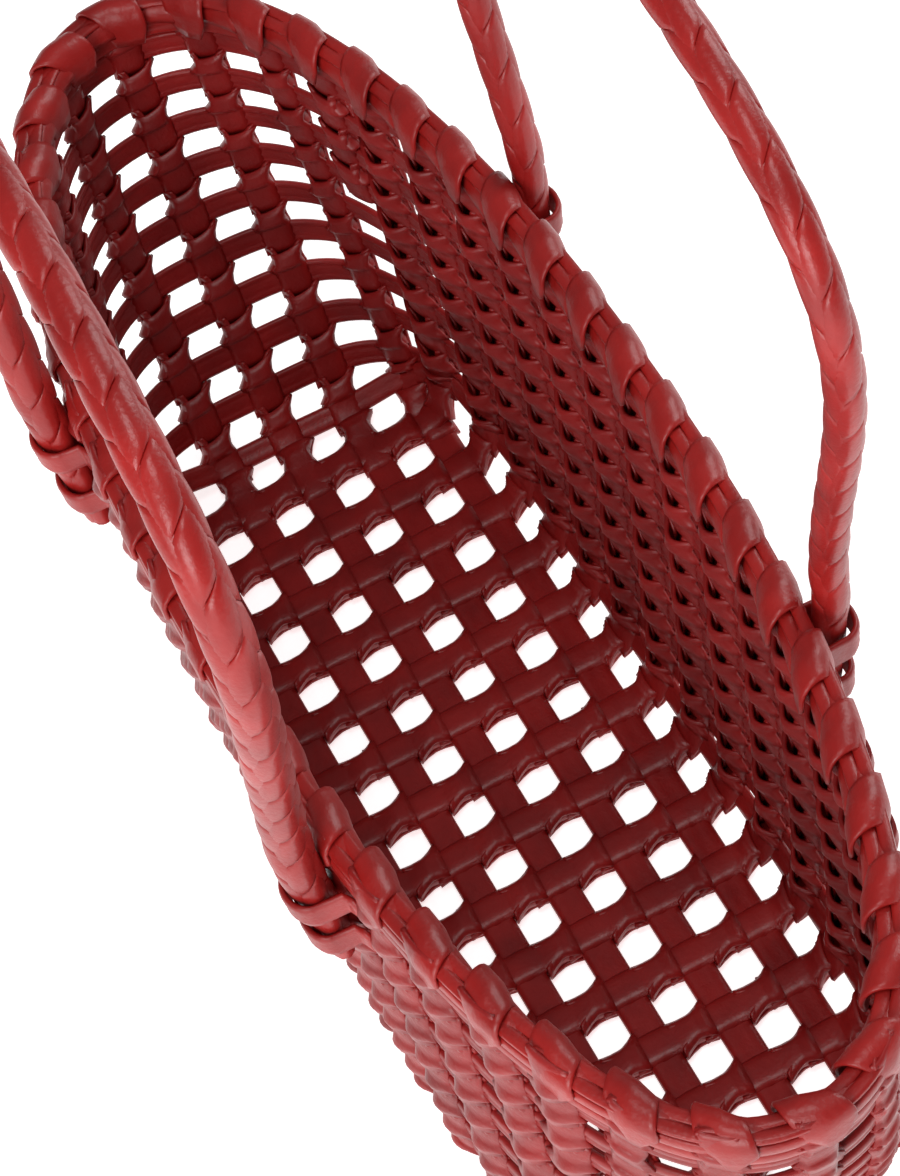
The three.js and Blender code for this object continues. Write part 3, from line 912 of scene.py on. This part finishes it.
def build_corner_lines():
    for n, (sign_x, sign_y) in enumerate(((1, 1), (-1, 1), (-1, -1), (1, -1))):
        line = corner_line(sign_x, sign_y)
        shell = Shell()
        for order in range(len(line.crossings) - 1):
            add_cell(shell, line, order, WALL_SCALE, SIDE_OUTER_SCALE, 1)
        finish_piece(shell, f"corner_line_{n + 1}", weave_leather, "weave_leather", "basket",
                     f"corner_upright_{n + 1}")


def build_bands():
    for n, height in enumerate(BAND_HEIGHTS):
        shell = Shell()
        grid = ring_grid(height, BAND_WIDTH / 2, WALL_MIDDLE, FOLDED)
        shell.add_plate(grid, STRIP_THICKNESS, close_rows=True)
        finish_piece(shell, f"band_{n + 1}", weave_leather, "weave_leather", "basket",
                     f"wall_band_{n + 1}")


def build_foot_band():
    """The lowest band, which runs round the rounded edge between the base and the wall."""
    places = np.array(sorted(foot_places, key=lambda p: math.atan2(p[1], p[0])))
    steps = 12
    count = len(places)
    at = np.arange(count * steps) / steps
    numbers = np.arange(-3, count + 3)
    path = sample(numbers, places[numbers % count], at)
    kernel = hanning_kernel(steps + 1)
    reach = len(kernel) // 2
    wrapped = np.concatenate([path[-reach:], path, path[:reach]])
    path = np.stack([np.convolve(column, kernel, "valid") for column in wrapped.T], -1)
    middle, upward, inward = path[:, :3], unit(path[:, 3:6]), unit(path[:, 6:])
    grid = folded_strip(middle, upward, BAND_WIDTH / 2, inward, FOOT_FOLD)
    shell = Shell()
    shell.add_plate(grid, STRIP_THICKNESS, close_rows=True)
    finish_piece(shell, "foot_band", weave_leather, "weave_leather", "basket")


def build_rim():
    strips = Shell()
    for height, half, out in RIM_SIDE_STRIPS:
        grid = ring_grid(height, half, out, RIM_SIDE_PROFILE)
        strips.add_plate(grid, RIM_SIDE_STRAP, close_rows=True)
    points, outward = ring_frames(RIM_HEIGHT)
    for out in RIM_TOP_STRIPS:
        columns = []
        for w in RIM_TOP_COLUMNS:
            lift = RIM_TOP_LIFT + RIM_TOP_CAMBER * (1 - (w / RIM_TOP_COLUMNS[0]) ** 2)
            columns.append(points + outward * (out + w) + UPWARD * lift)
        strips.add_plate(np.stack(columns, 1), RIM_TOP_STRAP, close_rows=True)
    finish_piece(strips, "rim_strips", rim_leather, "rim_leather", "basket", "rim_outer_band",
                 "rim_inner_band")
    rim = RimPath()
    hoods = Shell()
    places = np.array(rim.places) * rim.length
    for n, middle in enumerate(places):
        following = places[(n + 1) % len(places)]
        following += rim.length if following < middle else 0
        half = HOOD_HALF_LENGTH * random.normal(1, HOOD_LENGTH_SPREAD)
        size = random.normal(1, HOOD_SIZE_SPREAD)
        hoods.add_plate(hood_grid(rim, middle, half, size), HOOD_STRAP)
        link = link_grid(rim, middle + LINK_START, following - LINK_END)
        hoods.add_plate(link, LINK_STRAP)
    finish_piece(hoods, "rim_hoods", rim_leather, "rim_leather", "basket", "rim_cap")


def build_handles():
    for side, sign_y in (("left", -1), ("right", 1)):
        shell = braid(sign_y, BRAID_SLIMNESS[side])
        piece = finish_piece(shell, f"{side}_braid", handle_leather, "handle_leather", None,
                             f"{side}_handle", f"{side}_rear_tail", f"{side}_front_tail")
        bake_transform(piece)
        for end_name, sign_x in (("rear", -1), ("front", 1)):
            for n, drop in enumerate(KEEPER_DROPS):
                finish_piece(keeper(sign_x, sign_y, drop), f"{side}_{end_name}_loop_{n + 1}",
                             rim_leather, "rim_leather", "basket",
                             f"{side}_{end_name}_keeper_{n + 1}")


build_cross_lines()
build_long_lines()
build_corner_lines()
build_bands()
build_foot_band()
build_rim()
build_handles()


# ---------------------------------------------------------------- floor, light and camera
WHITE = (1, 1, 1, 1)
FLOOR_COLOUR = (0.9, 0.9, 0.9, 1)
FLOOR_GLOW = 0.75
FLOOR_HALF_SIZE = 6
FLOOR_HEIGHT = -0.0005


def floor_material():
    """A pale floor that glows a little, so that it renders as plain white."""
    material = bpy.data.materials.new("floor")
    material.use_nodes = True
    shader = material.node_tree.nodes["Principled BSDF"]
    shader.inputs["Base Color"].default_value = FLOOR_COLOUR
    shader.inputs["Roughness"].default_value = 0.8
    shader.inputs["Emission Color"].default_value = WHITE
    shader.inputs["Emission Strength"].default_value = FLOOR_GLOW
    return material


def build_floor():
    mesh = bpy.data.meshes.new("floor")
    corners = [(x * FLOOR_HALF_SIZE, y * FLOOR_HALF_SIZE, FLOOR_HEIGHT)
               for x, y in ((-1, -1), (1, -1), (1, 1), (-1, 1))]
    mesh.from_pydata(corners, [], [(0, 1, 2, 3)])
    mesh.materials.append(floor_material())
    floor = bpy.data.objects.new("floor", mesh)
    bpy.context.scene.collection.objects.link(floor)


WORLD_STRENGTH = 0.2
# Name, place, point aimed at, size and power of each light.
SOFTBOXES = (
    ("key", (-0.35, 0.15, 1.5), (0, 0, 0.05), (0.5, 0.4), 6),
    ("side", (0.4, -1.1, 0.9), (0, 0, 0.1), (0.5, 0.9), 8),
    ("fill", (-1.0, 0.9, 0.7), (0, 0, 0.1), (0.7, 0.7), 14),
)


def softbox(name, place, aim, size, power):
    light = bpy.data.lights.new(name, "AREA")
    light.shape = "RECTANGLE"
    light.size, light.size_y = size
    light.energy = power
    lamp = bpy.data.objects.new(name, light)
    lamp.location = place
    lamp.rotation_euler = (Vector(aim) - Vector(place)).to_track_quat("-Z", "Y").to_euler()
    bpy.context.scene.collection.objects.link(lamp)


def build_lights():
    world = bpy.data.worlds.new("studio")
    world.use_nodes = True
    backdrop = world.node_tree.nodes["Background"]
    backdrop.inputs["Color"].default_value = WHITE
    backdrop.inputs["Strength"].default_value = WORLD_STRENGTH
    bpy.context.scene.world = world
    for box in SOFTBOXES:
        softbox(*box)
    bpy.context.scene.view_settings.view_transform = "Standard"


# The camera looks down and along the basket; angles are in degrees, lengths in metres.
CAMERA_TARGET = Vector((-0.0036, -0.0002, 0.100))
CAMERA_DISTANCE = 0.9454
CAMERA_ELEVATION = 52.37
CAMERA_HEADING = -12.94
CAMERA_ROLL = 16.01
CAMERA_LENS = 121.8


def build_camera():
    data = bpy.data.cameras.new("camera")
    data.sensor_fit = "AUTO"
    data.sensor_width = 36
    data.lens = CAMERA_LENS
    camera = bpy.data.objects.new("camera", data)
    bpy.context.scene.collection.objects.link(camera)
    elevation, heading = math.radians(CAMERA_ELEVATION), math.radians(CAMERA_HEADING)
    ahead = Vector((math.cos(elevation) * math.cos(heading),
                    math.cos(elevation) * math.sin(heading), -math.sin(elevation)))
    level = ahead.cross(Vector((0, 0, 1))).normalized()
    upward = level.cross(ahead)
    roll = math.radians(CAMERA_ROLL)
    up = upward * math.cos(roll) + level * math.sin(roll)
    right = ahead.cross(up)
    camera.matrix_world = Matrix((
        (right.x, up.x, -ahead.x, 0),
        (right.y, up.y, -ahead.y, 0),
        (right.z, up.z, -ahead.z, 0),
        (0, 0, 0, 1),
    ))
    camera.location = CAMERA_TARGET - ahead * CAMERA_DISTANCE
    bpy.context.scene.camera = camera


build_floor()
build_lights()
build_camera()
